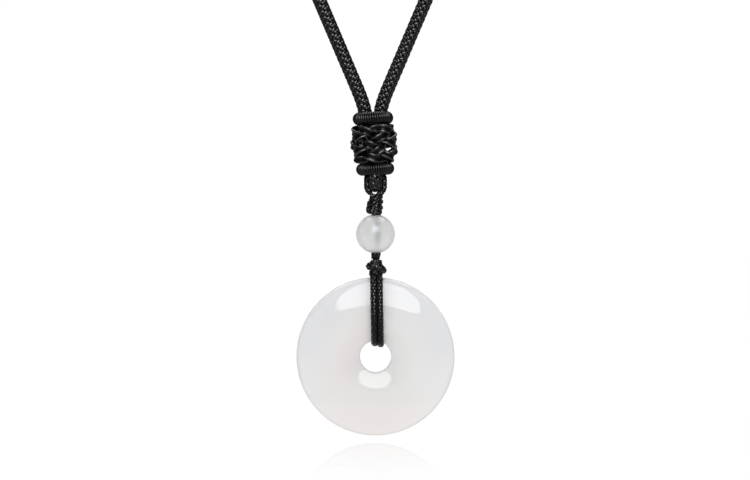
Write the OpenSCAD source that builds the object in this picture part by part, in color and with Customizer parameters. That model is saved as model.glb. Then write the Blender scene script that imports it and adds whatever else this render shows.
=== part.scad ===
// Agate necklace in millimetres, with +Z up and its front towards -Y.
// A ring disc and a bead of pale agate hang on black thread from the bend of a
// braided neck cord, whose legs leave a woven sleeve between two wound rings.
// The origin is the middle of the cord where it lies on the back of the neck.

/* [Agate disc] */
// Outer diameter of the disc
disc_d = 32.5; // [28:0.5:38]
// Diameter of the hole in the disc
hole_d = 6.4; // [5.8:0.1:8]
// Thickness of the disc at its thickest
disc_thick = 5.6; // [4.8:0.1:6.6]
// Radius of the rounded outer edge
edge_r = 1.5; // [1.1:0.1:1.8]
// Radius of the rounded edge of the hole
hole_edge_r = 0.5; // [0.3:0.05:0.7]

/* [Bead] */
// Diameter of the round bead
bead_d = 8; // [7:0.1:10]
// Diameter of the bore through the bead
bead_bore_d = 1.9; // [1.8:0.05:2.4]

/* [Neck cord] */
// Diameter of the braided neck cord
cord_d = 2.5; // [2.2:0.05:2.6]
// Angle of each visible leg from the vertical
leg_angle = 22.5; // [18:0.5:26]
// Height over which the legs run straight
leg_rise = 126; // [110:1:140]

/* [Sleeve] */
// Width of the upper ring
upper_ring_w = 8.4; // [8.2:0.1:9.2]
// Height of the upper ring
upper_ring_h = 2.8; // [2.6:0.1:3.2]
// Width of the lower ring
lower_ring_w = 7.9; // [7.8:0.1:8.8]
// Height of the lower ring
lower_ring_h = 2.6; // [2.5:0.1:3]
// Height of the woven part between the rings
weave_h = 7.7; // [7.4:0.1:8.4]

/* [Thread] */
// Diameter of the thread in the hanging loop
thread_d = 0.85; // [0.75:0.05:1]
// Width of each strand where it lies flat on the disc
strand_w = 1.2; // [1.1:0.05:1.25]
// Thickness of each strand where it lies flat on the disc
strand_t = 0.9; // [0.8:0.05:1]
// Length of the bare thread between the bead and the lower knot
bare_thread = 1.55; // [1:0.05:4]

/* [Hidden] */
// Clearance between pieces that touch on the real object
gap = 0.07;
// Smoothness of the round pieces
$fn = 96;
// Colours
black = [0.07, 0.07, 0.08];
satin_black = [0.1, 0.1, 0.11];
disc_grey = [0.87, 0.87, 0.86];
bead_grey = [0.83, 0.83, 0.82];

// The neck cord bends round the hanging loop, whose middle is the swing's axis
bend_r = cord_d / 2 + thread_d / 2 + gap;
bend_bottom = -bend_r - cord_d / 2;
// Distance of each leg from the sleeve's middle: inside it, and where it leaves
leg_in = cord_d / 2 + 0.12;
leg_out = cord_d / 2 + 0.3;

// Heights along the sleeve, counted from the swing's axis
sleeve_bottom = 0.35;
lower_ring_z = sleeve_bottom + lower_ring_h / 2;
weave_z = sleeve_bottom + lower_ring_h + weave_h / 2;
upper_ring_z = sleeve_bottom + lower_ring_h + weave_h + upper_ring_h / 2;
sleeve_top = upper_ring_z + upper_ring_h / 2;
// The sleeve leans a little to the left, by these degrees
sleeve_lean = -2.5;

// Radius inside the sleeve, and of the outer mouth of each ring
bore_r = leg_in + cord_d / 2 + 0.1;
lower_mouth_r = bend_r + cord_d / 2 + 0.12;
upper_mouth_r = bore_r + 0.35;

// Weave: one closed flat strand that passes over and under itself
weave_turns = 6;
weave_bends = 5;
weave_turned = 17;
weave_sections = 250;
weave_half_w = 0.65;
weave_half_t = 0.32;
weave_wave = 0.74;
weave_r = bore_r + weave_half_t + weave_wave + 0.05;
weave_rise = weave_h / 2 - weave_half_w - 0.1;
weave_evened = 0.25;

// Upper knot: two lobes of the doubled thread, one above the other
upper_knot_top = bend_bottom - 0.75;
upper_knot_h = 4;
upper_knot_bottom = upper_knot_top - upper_knot_h;
upper_lobe_w = 3.2;
upper_lobe_h = 2.05;
upper_tilt = 8;

// Bead, between the knots, and the thread pressed together in its bore
bead_cut = sqrt(pow(bead_d / 2, 2) - pow(bead_bore_d / 2, 2));
bead_z = upper_knot_bottom - gap - bead_cut;
pressed_d = 0.8;
pressed_x = 0.38;

// Lower knot: one wide lobe and a taller one behind it
lower_knot_h = 2.8;
lower_knot_top = bead_z - bead_cut - bare_thread;
lower_knot_z = lower_knot_top - lower_knot_h / 2;
lower_lobe_w = 4;
lower_lobe_h = 2.25;
lower_tilt = 5;
lower_knot_x = 0.25;

// The disc hangs just below the lower knot
knot_clear = 0.7;
disc_z = lower_knot_z - lower_knot_h / 2 - knot_clear - disc_d / 2;
// Section of the disc: each face is one wide arc, thickest nearer to the hole,
// that runs into the round outer edge and into the small round of the hole's edge
half_thick = disc_thick / 2;
rim_x = disc_d / 2 - edge_r;
hole_edge_x = hole_d / 2 + hole_edge_r;
peak_share = 0.457;
peak_x = hole_edge_x + peak_share * (rim_x - hole_edge_x);
face_r = (pow(rim_x - peak_x, 2) / (half_thick - edge_r) + edge_r + half_thick) / 2;
face_drop = face_r - half_thick;
rim_angle = asin((rim_x - peak_x) / (face_r - edge_r));
hole_angle = asin((peak_x - hole_edge_x) / (face_r - hole_edge_r));
hole_edge_z = (face_r - hole_edge_r) * cos(hole_angle) - face_drop;

// Two strands side by side hold the disc, and drift a little to the right
strand_off = strand_t / 2 + gap;
strand_pitch = strand_w + 0.08;
strand_x_top = 0.15;
strand_x_hole = 0.42;

// Neck loop, counted from the nape
front_y = -104;
legs_top_z = -72;
leg_spread = leg_out + leg_rise * tan(leg_angle);
axis_x = -sleeve_top * sin(sleeve_lean);
axis_at = [axis_x, front_y, legs_top_z - leg_rise - sleeve_top];
// Way round the neck, from above a straight leg to the nape:
// share of the leg's spread, share of the depth, share of the height
neck_way = [
    [1.02, 0.96, 0.98],
    [1.14, 0.83, 0.72],
    [1.17, 0.62, 0.46],
    [1.06, 0.34, 0.24],
    [0.66, 0.1, 0.06]
];
// Heights of the cord's sections on the straight leg, as shares of its rise, and
// the share from which the leg starts to curve round the neck
leg_shares = [0.004, 0.1, 0.4, 0.72];
leg_curves_at = 0.86;
// Heights of the cord's sections in the sleeve, as shares of its height
sleeve_shares = [0, 0.1, 0.22, 0.36, 0.5, 0.64, 0.78, 0.92];

function unit(v) = v / norm(v);

function reversed(list) = [for (i = [len(list) - 1:-1:0]) list[i]];

function mirrored(path) = [for (p = path) [-p[0], p[1], p[2]]];

// Turned about the Y axis through the swing's axis, as the sleeve leans
function leant(p) = [
    p[0] * cos(sleeve_lean) + p[2] * sin(sleeve_lean),
    p[1],
    p[2] * cos(sleeve_lean) - p[0] * sin(sleeve_lean)
];

function oval(half_w, half_t, sides) =
    [for (i = [0:sides - 1]) [half_w * cos(360 * i / sides), half_t * sin(360 * i / sides)]];

// Direction of a path at one of its points
function heading(path, i, closed) =
    let (
        n = len(path),
        before = closed ? path[(i + n - 1) % n] : path[max(i - 1, 0)],
        after = closed ? path[(i + 1) % n] : path[min(i + 1, n - 1)]
    )
    unit(after - before);

// One section across a path, with the outline's width towards side
function section(at, along, side, outline) =
    let (
        across = unit(side - along * (side * along)),
        up = cross(along, across)
    )
    [for (q = outline) at + across * q[0] + up * q[1]];

// Smooth curve from b to c that also heeds its neighbours a and d
function curve_point(a, b, c, d, t) =
    0.5 * (2 * b + (c - a) * t + (2 * a - 5 * b + 4 * c - d) * t * t
        + (3 * b - a - 3 * c + d) * t * t * t);

// Smooth curve through all points but the first and the last
function smooth_path(points, steps) =
    [for (i = [1:len(points) - 3], k = [0:steps - 1])
        curve_point(points[i - 1], points[i], points[i + 1], points[i + 2], k / steps)];

// Solid through a list of sections, closed to a loop or capped at both ends
module skin(sections, closed) {
    n = len(sections);
    m = len(sections[0]);
    spans = closed ? n : n - 1;
    walls = [for (i = [0:spans - 1], j = [0:m - 1])
        let (
            a = i * m + j,
            b = i * m + (j + 1) % m,
            c = (i + 1) % n * m + (j + 1) % m,
            d = (i + 1) % n * m + j
        )
        each [[a, c, b], [a, d, c]]];
    caps = closed ? [] : [
        [for (j = [0:m - 1]) j],
        [for (j = [m - 1:-1:0]) (n - 1) * m + j]
    ];
    polyhedron(points = [for (s = sections) each s], faces = concat(walls, caps));
}

module tube(path, outline, closed, side) {
    skin([for (i = [0:len(path) - 1])
        section(path[i], heading(path, i, closed), side, outline)], closed);
}

// A leg inside the sleeve: it turns a quarter round its partner as it rises
function leg_in_sleeve(from_angle) =
    [for (s = sleeve_shares)
        let (
            z = s * sleeve_top,
            near_bend = max(0, 1 - z / 1.6),
            near_top = max(0, 1 - (sleeve_top - z) / 2.2),
            r = leg_in + (bend_r - leg_in) * pow(near_bend, 2)
                + (leg_out - leg_in) * pow(near_top, 2),
            a = from_angle + 90 * min(1, s / 0.92)
        )
        leant([r * cos(a), r * sin(a), z])];

// Point of the right-hand leg's straight line at a share of its rise
function leg_point(share) = [
    leg_out + share * (leg_spread - leg_out),
    front_y,
    legs_top_z - leg_rise * (1 - share)
];

// The straight part of the right-hand leg, counted from the nape
function straight_leg() = [for (share = leg_shares) leg_point(share)];

// Round the neck, from where the left-hand leg starts to curve to just before the
// same place of the right-hand one
function round_neck() =
    let (
        top = leg_point(1),
        way = [for (w = neck_way) [w[0] * top[0], w[1] * top[1], w[2] * top[2]]],
        right = concat([straight_leg()[3], leg_point(leg_curves_at)], way)
    )
    smooth_path(concat(mirrored(right), [[0, 0, 0]], reversed(right)), 4);

function bend() =
    [for (a = [-67.5:22.5:67.5]) [0, bend_r * sin(a), -bend_r * cos(a)]];

module neck_cord() {
    low = concat(reversed(leg_in_sleeve(-90)), bend(), leg_in_sleeve(90));
    route = concat([for (p = low) axis_at + p], mirrored(straight_leg()), round_neck(),
        [leg_point(leg_curves_at)], reversed(straight_leg()));
    color(black) tube(route, oval(cord_d / 2, cord_d / 2, 8), true, [1, 1, 1]);
}

module at_axis() {
    translate(axis_at) children();
}

module in_sleeve(z) {
    at_axis() rotate([0, sleeve_lean, 0]) translate([0, 0, z]) children();
}

// Ring with a round outside, whose bore widens to a mouth above or below
module ring(width, height, up_r, down_r) {
    rotate_extrude() difference() {
        translate([(width - height) / 2, 0]) circle(d = height);
        polygon([
            [-height, -height / 2],
            [down_r, -height / 2],
            [bore_r, 0],
            [up_r, height / 2],
            [-height, height / 2]
        ]);
    }
}

module upper_ring() {
    color(black) in_sleeve(upper_ring_z)
        ring(upper_ring_w, upper_ring_h, upper_mouth_r, bore_r);
}

module lower_ring() {
    color(black) in_sleeve(lower_ring_z)
        ring(lower_ring_w, lower_ring_h, bore_r, lower_mouth_r);
}

// Over and under: 1 outside and -1 inside at the crossings, in turn, and nearly
// level between two crossings of a kind
function over_under(t) =
    let (
        slow = 0.0893 * sin(weave_bends * t) + 0.3333 * sin(3 * weave_bends * t),
        wave = slow + 1.244 * sin(5 * weave_bends * t)
    )
    1.19 * wave / pow(1 + pow(wave, 4), 0.25);

// Point of the woven strand's middle line, counted from the sleeve's middle
function weave_point(t) =
    let (
        bend = cos(weave_bends * t),
        z = (weave_rise - weave_evened) * bend + weave_evened * cos(3 * weave_bends * t),
        r = weave_r + weave_wave * over_under(t),
        a = weave_turns * t + weave_turned
    )
    [r * cos(a), r * sin(a), z];

module woven_sleeve() {
    outline = oval(weave_half_w, weave_half_t, 6);
    step = 360 / weave_sections;
    sections = [for (i = [0:weave_sections - 1])
        let (
            t = i * step,
            at = weave_point(t),
            along = unit(weave_point(t + 0.1) - weave_point(t - 0.1)),
            outward = unit([at[0], at[1], 0]),
            across = unit(cross(outward, along))
        )
        section(at, along, across, outline)];
    color(satin_black) in_sleeve(weave_z) skin(sections, true);
}

// Loop of thread over the bend of the neck cord and under it into the upper knot
module hanger_loop() {
    end_x = thread_d / 2 + 0.1;
    end_z = upper_knot_top + 1.5 * gap;
    under = [for (a = [-50, -30, -12]) [bend_r * cos(a), 0, bend_r * (sin(a) - 1)]];
    right = concat(
        [[end_x, 0, end_z], [end_x, 0, end_z + 0.05], [end_x + 0.22, 0, end_z + 0.38]],
        under,
        [for (q = [[1, -0.6], [0.95, -0.3], [0.82, -0.1], [0.5, 0]])
            [q[0] * bend_r, 0, q[1] * bend_r]]
    );
    route = concat(right, [[0, 0, 0]], reversed(mirrored(right)));
    color(black) at_axis() tube(route, oval(thread_d / 2, thread_d / 2, 8), false, [0, 1, 0]);
}

// One lobe of a knot, with its middle filled
module lobe(width, height) {
    rotate_extrude() {
        intersection() {
            translate([(width - height) / 2, 0]) circle(d = height);
            translate([0, -height]) square([width, 2 * height]);
        }
        translate([0, -height / 2]) square([(width - height) / 2, height]);
    }
}

module upper_knot() {
    reach = upper_lobe_h / 2 + (upper_lobe_w - upper_lobe_h) / 2 * sin(upper_tilt);
    color(black) at_axis() {
        translate([-0.1, 0, upper_knot_top - reach]) rotate([0, upper_tilt, 0])
            lobe(upper_lobe_w, upper_lobe_h);
        translate([-0.27, 0, upper_knot_bottom + reach]) rotate([0, -upper_tilt, 0])
            lobe(upper_lobe_w, upper_lobe_h);
    }
}

// Both strands, pressed together through the bead
module bead_thread() {
    bottom = lower_knot_top + gap;
    color(black) at_axis() for (x = [-pressed_x, pressed_x])
        translate([x, 0, bottom])
            cylinder(d = pressed_d, h = upper_knot_bottom - gap - bottom);
}

module stone_bead() {
    color(bead_grey) at_axis() translate([0, 0, bead_z]) difference() {
        sphere(d = bead_d);
        cylinder(d = bead_bore_d, h = 2 * bead_d, center = true);
    }
}

module lower_knot() {
    color(black) at_axis() translate([lower_knot_x, 0, lower_knot_z]) {
        rotate([0, lower_tilt, 0]) lobe(lower_lobe_w, lower_lobe_h);
        lobe(0.8 * lower_lobe_w, lower_knot_h);
    }
}

// A strand's way from the knot down the front of the disc into its hole:
// distance from the disc's middle, and depth
function strand_way() =
    let (
        start = disc_d / 2 + knot_clear,
        rim_r = edge_r + strand_off,
        wide_r = face_r + strand_off,
        hole_r = hole_edge_r + strand_off
    )
    concat(
        [[start - gap, 0.5], [start - gap - 0.05, 0.5], [disc_d / 2 + 0.38, 0.72]],
        [for (i = [0:2])
            let (a = 35 + (55 - rim_angle) * i / 2)
            [rim_x + rim_r * cos(a), rim_r * sin(a)]],
        [for (i = [0:8])
            let (a = rim_angle - 2 - (rim_angle + hole_angle - 4) * i / 8)
            [peak_x + wide_r * sin(a), wide_r * cos(a) - face_drop]],
        [for (i = [0:3])
            let (a = (90 - hole_angle) * (1 - i / 3))
            [hole_edge_x - hole_r * cos(a), hole_edge_z + hole_r * sin(a)]]
    );

module strand(side) {
    front = strand_way();
    hole = [hole_d / 2 - strand_off, 0];
    around = concat([for (p = front) [p[0], -p[1]]], [hole], reversed(front));
    drop = front[0][0] - hole[0];
    route = [for (p = around)
        let (
            s = (front[0][0] - p[0]) / drop,
            x = strand_x_top + (strand_x_hole - strand_x_top) * s + side * strand_pitch / 2
        )
        [x, p[1], disc_z + sqrt(p[0] * p[0] - x * x)]];
    color(black) at_axis() tube(route, oval(strand_w / 2, strand_t / 2, 8), false, [1, 0, 0]);
}

module left_strand() {
    strand(-1);
}

module right_strand() {
    strand(1);
}

// Ring disc, domed on both faces, with its hole along Y
module agate_disc() {
    from_x = peak_x - face_r * sin(hole_angle);
    to_x = peak_x + face_r * sin(rim_angle);
    color(disc_grey) at_axis() translate([0, 0, disc_z]) rotate([90, 0, 0]) rotate_extrude() {
        intersection() {
            translate([peak_x, -face_drop]) circle(face_r);
            translate([peak_x, face_drop]) circle(face_r);
            translate([from_x, -disc_thick]) square([to_x - from_x, 2 * disc_thick]);
        }
        translate([rim_x, 0]) circle(edge_r);
        for (side = [-1, 1]) translate([hole_edge_x, side * hole_edge_z]) circle(hole_edge_r);
        translate([hole_d / 2, -hole_edge_z]) square([hole_edge_r, 2 * hole_edge_z]);
    }
}

neck_cord();
upper_ring();
woven_sleeve();
lower_ring();
hanger_loop();
upper_knot();
bead_thread();
stone_bead();
lower_knot();
left_strand();
right_strand();
agate_disc();
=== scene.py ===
"""Agate necklace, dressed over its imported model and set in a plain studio.

Lengths are millimetres in the frame of the part's source, unless a name ends
in _m. Every mesh is made in metres, at its place. STEP is the usual distance
between two points of a strand's path.
"""

import logging
import math
from dataclasses import dataclass
from enum import Enum
from typing import Callable, Sequence

import bpy
from mathutils import Matrix, Vector


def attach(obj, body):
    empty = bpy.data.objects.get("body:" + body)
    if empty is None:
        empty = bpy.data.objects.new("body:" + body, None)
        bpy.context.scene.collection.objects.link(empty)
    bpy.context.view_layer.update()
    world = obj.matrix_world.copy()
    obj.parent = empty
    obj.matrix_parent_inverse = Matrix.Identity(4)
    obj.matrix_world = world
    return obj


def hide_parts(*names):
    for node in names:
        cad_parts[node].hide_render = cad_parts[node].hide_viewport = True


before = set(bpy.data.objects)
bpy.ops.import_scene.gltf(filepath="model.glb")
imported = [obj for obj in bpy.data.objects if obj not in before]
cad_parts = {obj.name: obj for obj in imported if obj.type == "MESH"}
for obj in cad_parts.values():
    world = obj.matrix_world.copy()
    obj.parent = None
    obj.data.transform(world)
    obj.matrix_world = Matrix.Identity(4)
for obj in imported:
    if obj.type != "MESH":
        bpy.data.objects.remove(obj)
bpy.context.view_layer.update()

LOG = logging.getLogger("necklace")
MM = 0.001
STEP = 0.2
WHITE = (1.0, 1.0, 1.0, 1.0)

Piece = bpy.types.Object
Tree = bpy.types.NodeTree
Socket = bpy.types.NodeSocket
Material = bpy.types.Material
Colour = tuple[float, float, float, float]
Span = tuple[float, float]
Triple = tuple[float, float, float]
Path = Sequence[Vector]
Feed = bpy.types.NodeSocket | float | Sequence[float]


class Body(Enum):
    """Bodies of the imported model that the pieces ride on."""

    NECKLACE = "necklace"
    DROP = "drop"
    DISC = "disc"


class Slot(Enum):
    """Material slots of the record."""

    BRAIDED_CORD = "braided_cord"
    WOUND_CORD = "wound_cord"
    SATIN_CORD = "satin_cord"
    THREAD = "thread"
    BEAD_AGATE = "bead_agate"
    DISC_AGATE = "disc_agate"


class Outline(Enum):
    """Outlines of a softbox."""

    SQUARE = "RECTANGLE"
    OVAL = "ELLIPSE"


class Hand(Enum):
    """Ways in which the yarns of a braid lean round it."""

    LEFT = 1
    RIGHT = -1


# Workshop helpers


def pick(*pieces: Piece) -> Piece:
    """Selects these pieces alone and makes the first one active.

    Args:
        pieces: The pieces that the next operator works on.

    Returns:
        The active piece.
    """
    if bpy.context.object and bpy.context.object.mode != "OBJECT":
        bpy.ops.object.mode_set(mode="OBJECT")
    bpy.ops.object.select_all(action="DESELECT")
    for piece in pieces:
        piece.select_set(True)
    bpy.context.view_layer.objects.active = pieces[0]
    return pieces[0]


def linked(made: Piece) -> Piece:
    """Links a new object into the scene."""
    bpy.context.scene.collection.objects.link(made)
    return made


def rename(piece: Piece, name: str) -> Piece:
    """Gives a piece and its mesh a name."""
    piece.name = piece.data.name = name
    return piece


def place(piece: Piece, where: Matrix) -> Piece:
    """Moves a piece's mesh by a matrix.

    Args:
        piece: The piece to move.
        where: The move, turn and scale to give its mesh.

    Returns:
        The same piece, with its object at the origin.
    """
    piece.matrix_world = where @ piece.matrix_world
    pick(piece)
    bpy.ops.object.transform_apply(location=True, rotation=True, scale=True)
    return piece


def apply_modifier(piece: Piece) -> None:
    """Applies a piece's only modifier."""
    bpy.ops.object.modifier_apply(modifier=pick(piece).modifiers[0].name)


def join(pieces: Sequence[Piece]) -> Piece:
    """Joins pieces into the first of them.

    Args:
        pieces: The pieces to join.

    Returns:
        The joined piece.
    """
    first = pick(*pieces)
    bpy.ops.object.join()
    return first


def repeat(piece: Piece, count: int, step: Matrix) -> Piece:
    """Copies a mesh again and again, each copy moved on by a matrix.

    Args:
        piece: The piece to repeat.
        count: How many there are.
        step: The move from one to the next.

    Returns:
        The same piece, with all its copies.
    """
    bpy.ops.object.empty_add()
    stepper = bpy.context.object
    stepper.matrix_world = step
    array = piece.modifiers.new("repeat", "ARRAY")
    array.count = count
    array.use_relative_offset = False
    array.use_object_offset = True
    array.offset_object = stepper
    apply_modifier(piece)
    bpy.data.objects.remove(stepper)
    return piece


class Part:
    """Piece of the necklace: a subclass shapes it, and it is dressed here."""

    node: str
    kind: str
    body: Body
    slot: Slot

    def shape(self) -> Piece:
        """Makes the piece's mesh at its place."""
        raise NotImplementedError

    def build(self, material: Material) -> None:
        """Makes the piece, dresses it and sets it on its body.

        Args:
            material: The finish that it wears.
        """
        piece = rename(self.shape(), f"{self.node}_{self.kind}")
        pick(piece)
        bpy.ops.object.shade_smooth()
        piece.data.materials.clear()
        piece.data.materials.append(material)
        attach(piece, self.body.value)
        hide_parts(self.node)
        LOG.info("%s: %d faces on %s", piece.name, len(piece.data.polygons), self.body.value)


# Routes


def travelled(points: Path, closed: bool) -> list[float]:
    """Adds up the distance along a path.

    Args:
        points: The path's points.
        closed: Whether the last point leads back to the first.

    Returns:
        The distance at each point, and for a closed path the whole length too.
    """
    ways = [0.0]
    ends = list(points) + ([points[0]] if closed else [])
    for here, there in zip(ends, ends[1:]):
        ways.append(ways[-1] + (there - here).length)
    return ways


def evenly(points: Path, step: float, closed: bool) -> list[Vector]:
    """Spaces points evenly along a path.

    Args:
        points: The path's points.
        step: The distance that is wanted between two points.
        closed: Whether the last point leads back to the first.

    Returns:
        Evenly spaced points on the same path.
    """
    ends = list(points) + ([points[0]] if closed else [])
    ways = travelled(points, closed)
    count = max(2, round(ways[-1] / step))
    even = []
    k = 0
    for i in range(count if closed else count + 1):
        at = min(ways[-1], ways[-1] * i / count)
        while k < len(ways) - 2 and ways[k + 1] < at:
            k += 1
        span = ways[k + 1] - ways[k]
        even.append(ends[k].lerp(ends[k + 1], (at - ways[k]) / span if span else 0.0))
    return even


def relax(points: list[Vector], rounds: int, loose: Callable[[Vector], bool]) -> list[Vector]:
    """Rounds off the kinks of an evenly spaced closed path.

    Args:
        points: The path's points.
        rounds: How often each loose point moves halfway between its neighbours.
        loose: Says which points may move.

    Returns:
        The smoothed path.
    """
    free = [i for i, point in enumerate(points) if loose(point)]
    for _ in range(rounds):
        middle = {i: (points[i - 1] + points[(i + 1) % len(points)]) / 2 for i in free}
        for i in free:
            points[i] = points[i].lerp(middle[i], 0.5)
    return points


def curve_between(a: Vector, b: Vector, c: Vector, d: Vector, t: float) -> Vector:
    """Point at a share t of a smooth curve from b to c that also heeds a and d."""
    bend = (2 * a - 5 * b + 4 * c - d) * t * t + (3 * b - a - 3 * c + d) * t**3
    return 0.5 * (2 * b + (c - a) * t + bend)


def smooth_path(points: Path, steps: int) -> list[Vector]:
    """Smooth curve through all points but the first and the last.

    Args:
        points: The points that steer the curve.
        steps: How many points it gets between two of them.

    Returns:
        The curve's points, ending at the last but one.
    """
    spans = range(1, len(points) - 2)
    curve = [curve_between(*points[i - 1 : i + 3], k / steps) for i in spans for k in range(steps)]
    return curve + [points[-2]]


@dataclass
class Hanging:
    """Named sizes that place the necklace's pieces, as in the part's source.

    Each row of neck_way is a place on the way round the neck, as shares of a
    leg's top: sideways, in depth and in height.
    """

    cord: float = 2.5
    thread: float = 0.85
    gap: float = 0.07
    leg_angle: float = 22.5
    leg_rise: float = 126.0
    sleeve_bottom: float = 0.35
    lower_ring_h: float = 2.6
    weave_h: float = 7.7
    upper_ring_h: float = 2.8
    sleeve_lean: float = -2.5
    front: float = -104.0
    legs_top: float = -72.0
    leg_close: float = 0.4
    close_share: float = 0.26
    legs_end: float = 0.95
    legs_turned: float = 0.92
    bend_reach: float = 1.6
    mouth_reach: float = 2.2
    mouth_soft: float = 4.0
    curve_share: float = 0.72
    step: float = 0.5
    rounds: int = 24
    leg_steps: int = 47
    bead_z: float = -11.7
    disc_z: float = -36.886
    neck_way: tuple[Triple, ...] = (
        (1.02, 0.96, 0.98),
        (1.14, 0.83, 0.72),
        (1.17, 0.62, 0.46),
        (1.06, 0.34, 0.24),
        (0.66, 0.10, 0.06),
    )

    @property
    def bend_r(self) -> float:
        """Radius of the neck cord's bend round the hanging loop."""
        return self.cord / 2 + self.thread / 2 + self.gap

    @property
    def leg_in(self) -> float:
        """Distance of each leg from the sleeve's middle."""
        return self.cord / 2 + 0.12

    @property
    def leg_out(self) -> float:
        """Distance of each leg from the middle where it leaves the sleeve."""
        return self.cord / 2 + 0.3

    @property
    def sleeve_top(self) -> float:
        """Height of the sleeve's top over the swing's axis."""
        return self.sleeve_bottom + self.lower_ring_h + self.weave_h + self.upper_ring_h

    @property
    def leg_spread(self) -> float:
        """Sideways distance of a leg's top from the middle."""
        return self.leg_out + self.leg_rise * math.tan(math.radians(self.leg_angle))

    @property
    def axis_at(self) -> Vector:
        """Middle of the hanging loop's thread, where the drop swings."""
        x = -self.sleeve_top * math.sin(math.radians(self.sleeve_lean))
        return Vector((x, self.front, self.legs_top - self.leg_rise - self.sleeve_top))

    def at(self, x: float, y: float, z: float) -> Vector:
        """Point counted from the swing's axis, in the necklace's frame."""
        return self.axis_at + Vector((x, y, z))

    def move(self, x: float, z: float) -> Matrix:
        """Move, in metres, to a point counted from the swing's axis."""
        return Matrix.Translation(self.at(x, 0, z) * MM)

    def in_sleeve(self, z: float) -> Matrix:
        """Place, in metres, at a height along the middle of the leaning sleeve."""
        lean = Matrix.Rotation(math.radians(self.sleeve_lean), 4, "Y")
        return self.move(0, 0) @ lean @ Matrix.Translation((0, 0, z * MM))

    def leg_in_sleeve(self, start: float) -> list[Vector]:
        """Leg inside the sleeve, which turns a quarter round its partner as it rises.

        Args:
            start: The leg's angle at the bend, in degrees.

        Returns:
            The leg's points from the bend upwards.
        """
        lean = Matrix.Rotation(math.radians(self.sleeve_lean), 3, "Y")
        points = []
        for i in range(self.leg_steps + 1):
            share = self.legs_end * i / self.leg_steps
            z = share * self.sleeve_top
            near_bend = max(0.0, 1 - z / self.bend_reach)
            near_top = max(0.0, 1 - (self.sleeve_top - z) / self.mouth_reach)
            r = self.leg_in + (self.bend_r - self.leg_in) * near_bend**2
            r += (self.leg_out - self.leg_close - self.leg_in) * near_top**2
            angle = math.radians(start + 90 * min(1.0, share / self.legs_turned))
            points.append(self.axis_at + lean @ Vector((r * math.cos(angle), r * math.sin(angle), z)))
        return points

    def leg_point(self, share: float, side: int) -> Vector:
        """Point of a leg's straight line.

        Args:
            share: The point's share of the leg's rise.
            side: 1 for the right-hand leg and -1 for the left-hand one.

        Returns:
            The point in the necklace's frame.
        """
        x = self.leg_out + share * (self.leg_spread - self.leg_out)
        x -= self.leg_close * max(0.0, 1 - share / self.close_share)
        return Vector((side * x, self.front, self.legs_top - self.leg_rise * (1 - share)))

    def straight_leg(self, side: int) -> list[Vector]:
        """Straight part of a leg, from the sleeve upwards."""
        shares = (0.02, 0.1, self.close_share, 0.5, self.curve_share)
        return [self.leg_point(share, side) for share in shares]

    def round_neck(self) -> list[Vector]:
        """Way round the neck, from where the left-hand leg starts to curve to the right-hand one.

        Returns:
            The way's points.
        """
        top = self.leg_point(1.0, 1)
        right = [self.leg_point(share, 1) for share in (self.curve_share, 0.86)]
        right += [Vector((w * top.x, d * top.y, h * top.z)) for w, d, h in self.neck_way]
        left = [Vector((-p.x, p.y, p.z)) for p in right]
        return smooth_path(left + [Vector((0, 0, 0))] + right[::-1], 24)

    def route(self) -> list[Vector]:
        """Whole closed middle line of the neck cord, evenly spaced and rounded.

        Returns:
            The line's points, from the top of the sleeve down.
        """
        turns = [math.radians(i * 11.25) for i in range(-7, 8)]
        rays = [Vector((0, math.sin(turn), -math.cos(turn))) for turn in turns]
        bend = [self.axis_at + ray * self.bend_r for ray in rays]
        points = self.leg_in_sleeve(-90)[::-1] + bend + self.leg_in_sleeve(90)
        points += self.straight_leg(-1) + self.round_neck() + self.straight_leg(1)[::-1]
        mouth = self.legs_top - self.leg_rise
        even = evenly(points, self.step, True)
        return relax(even, self.rounds, lambda p: abs(p.z - mouth) < self.mouth_soft)


HANGING = Hanging()


# Cords


def oval(half_w: float, half_t: float, sides: int) -> list[Span]:
    """Oval section of a tube, as offsets along its width and its thickness."""
    turns = [math.tau * j / sides for j in range(sides)]
    return [(half_w * math.cos(turn), half_t * math.sin(turn)) for turn in turns]


def tube(
    points: Path, section: Sequence[Span], closed: bool, side: Callable[[int], Vector]
) -> Piece:
    """Tube along a path, with a UV map: U goes once round it and V along it, in millimetres.

    Args:
        points: The middle line.
        section: Offsets of the section's corners along its width and its thickness.
        closed: Whether the tube is a loop. An open tube has closed ends.
        side: Gives the direction of the section's width at a point's index.

    Returns:
        The new piece.
    """
    n = len(points)
    sides = len(section)
    verts = []
    for i, at in enumerate(points):
        before = points[i - 1] if closed or i else at
        after = points[(i + 1) % n] if closed or i < n - 1 else at
        along = (after - before).normalized()
        across = side(i)
        across = (across - along * across.dot(along)).normalized()
        up = along.cross(across)
        verts += [(at + across * w + up * t) * MM for w, t in section]
    ways = travelled(points, closed)
    faces = []
    flat = []
    for i in range(n if closed else n - 1):
        low, high = i * sides, (i + 1) % n * sides
        for j in range(sides):
            k = (j + 1) % sides
            faces.append((low + j, low + k, high + k, high + j))
            for du, dv in ((0, 0), (1, 0), (1, 1), (0, 1)):
                flat += [(j + du) / sides, ways[i + dv]]
    if not closed:
        faces += [tuple(range(sides))[::-1], tuple(range((n - 1) * sides, n * sides))]
        flat += [0.5, 0.0] * sides + [0.5, ways[-1]] * sides
    mesh = bpy.data.meshes.new("tube")
    mesh.from_pydata(verts, [], faces)
    mesh.uv_layers.new(name="UVMap").data.foreach_set("uv", flat)
    mesh.update()
    return linked(bpy.data.objects.new("tube", mesh))


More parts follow.
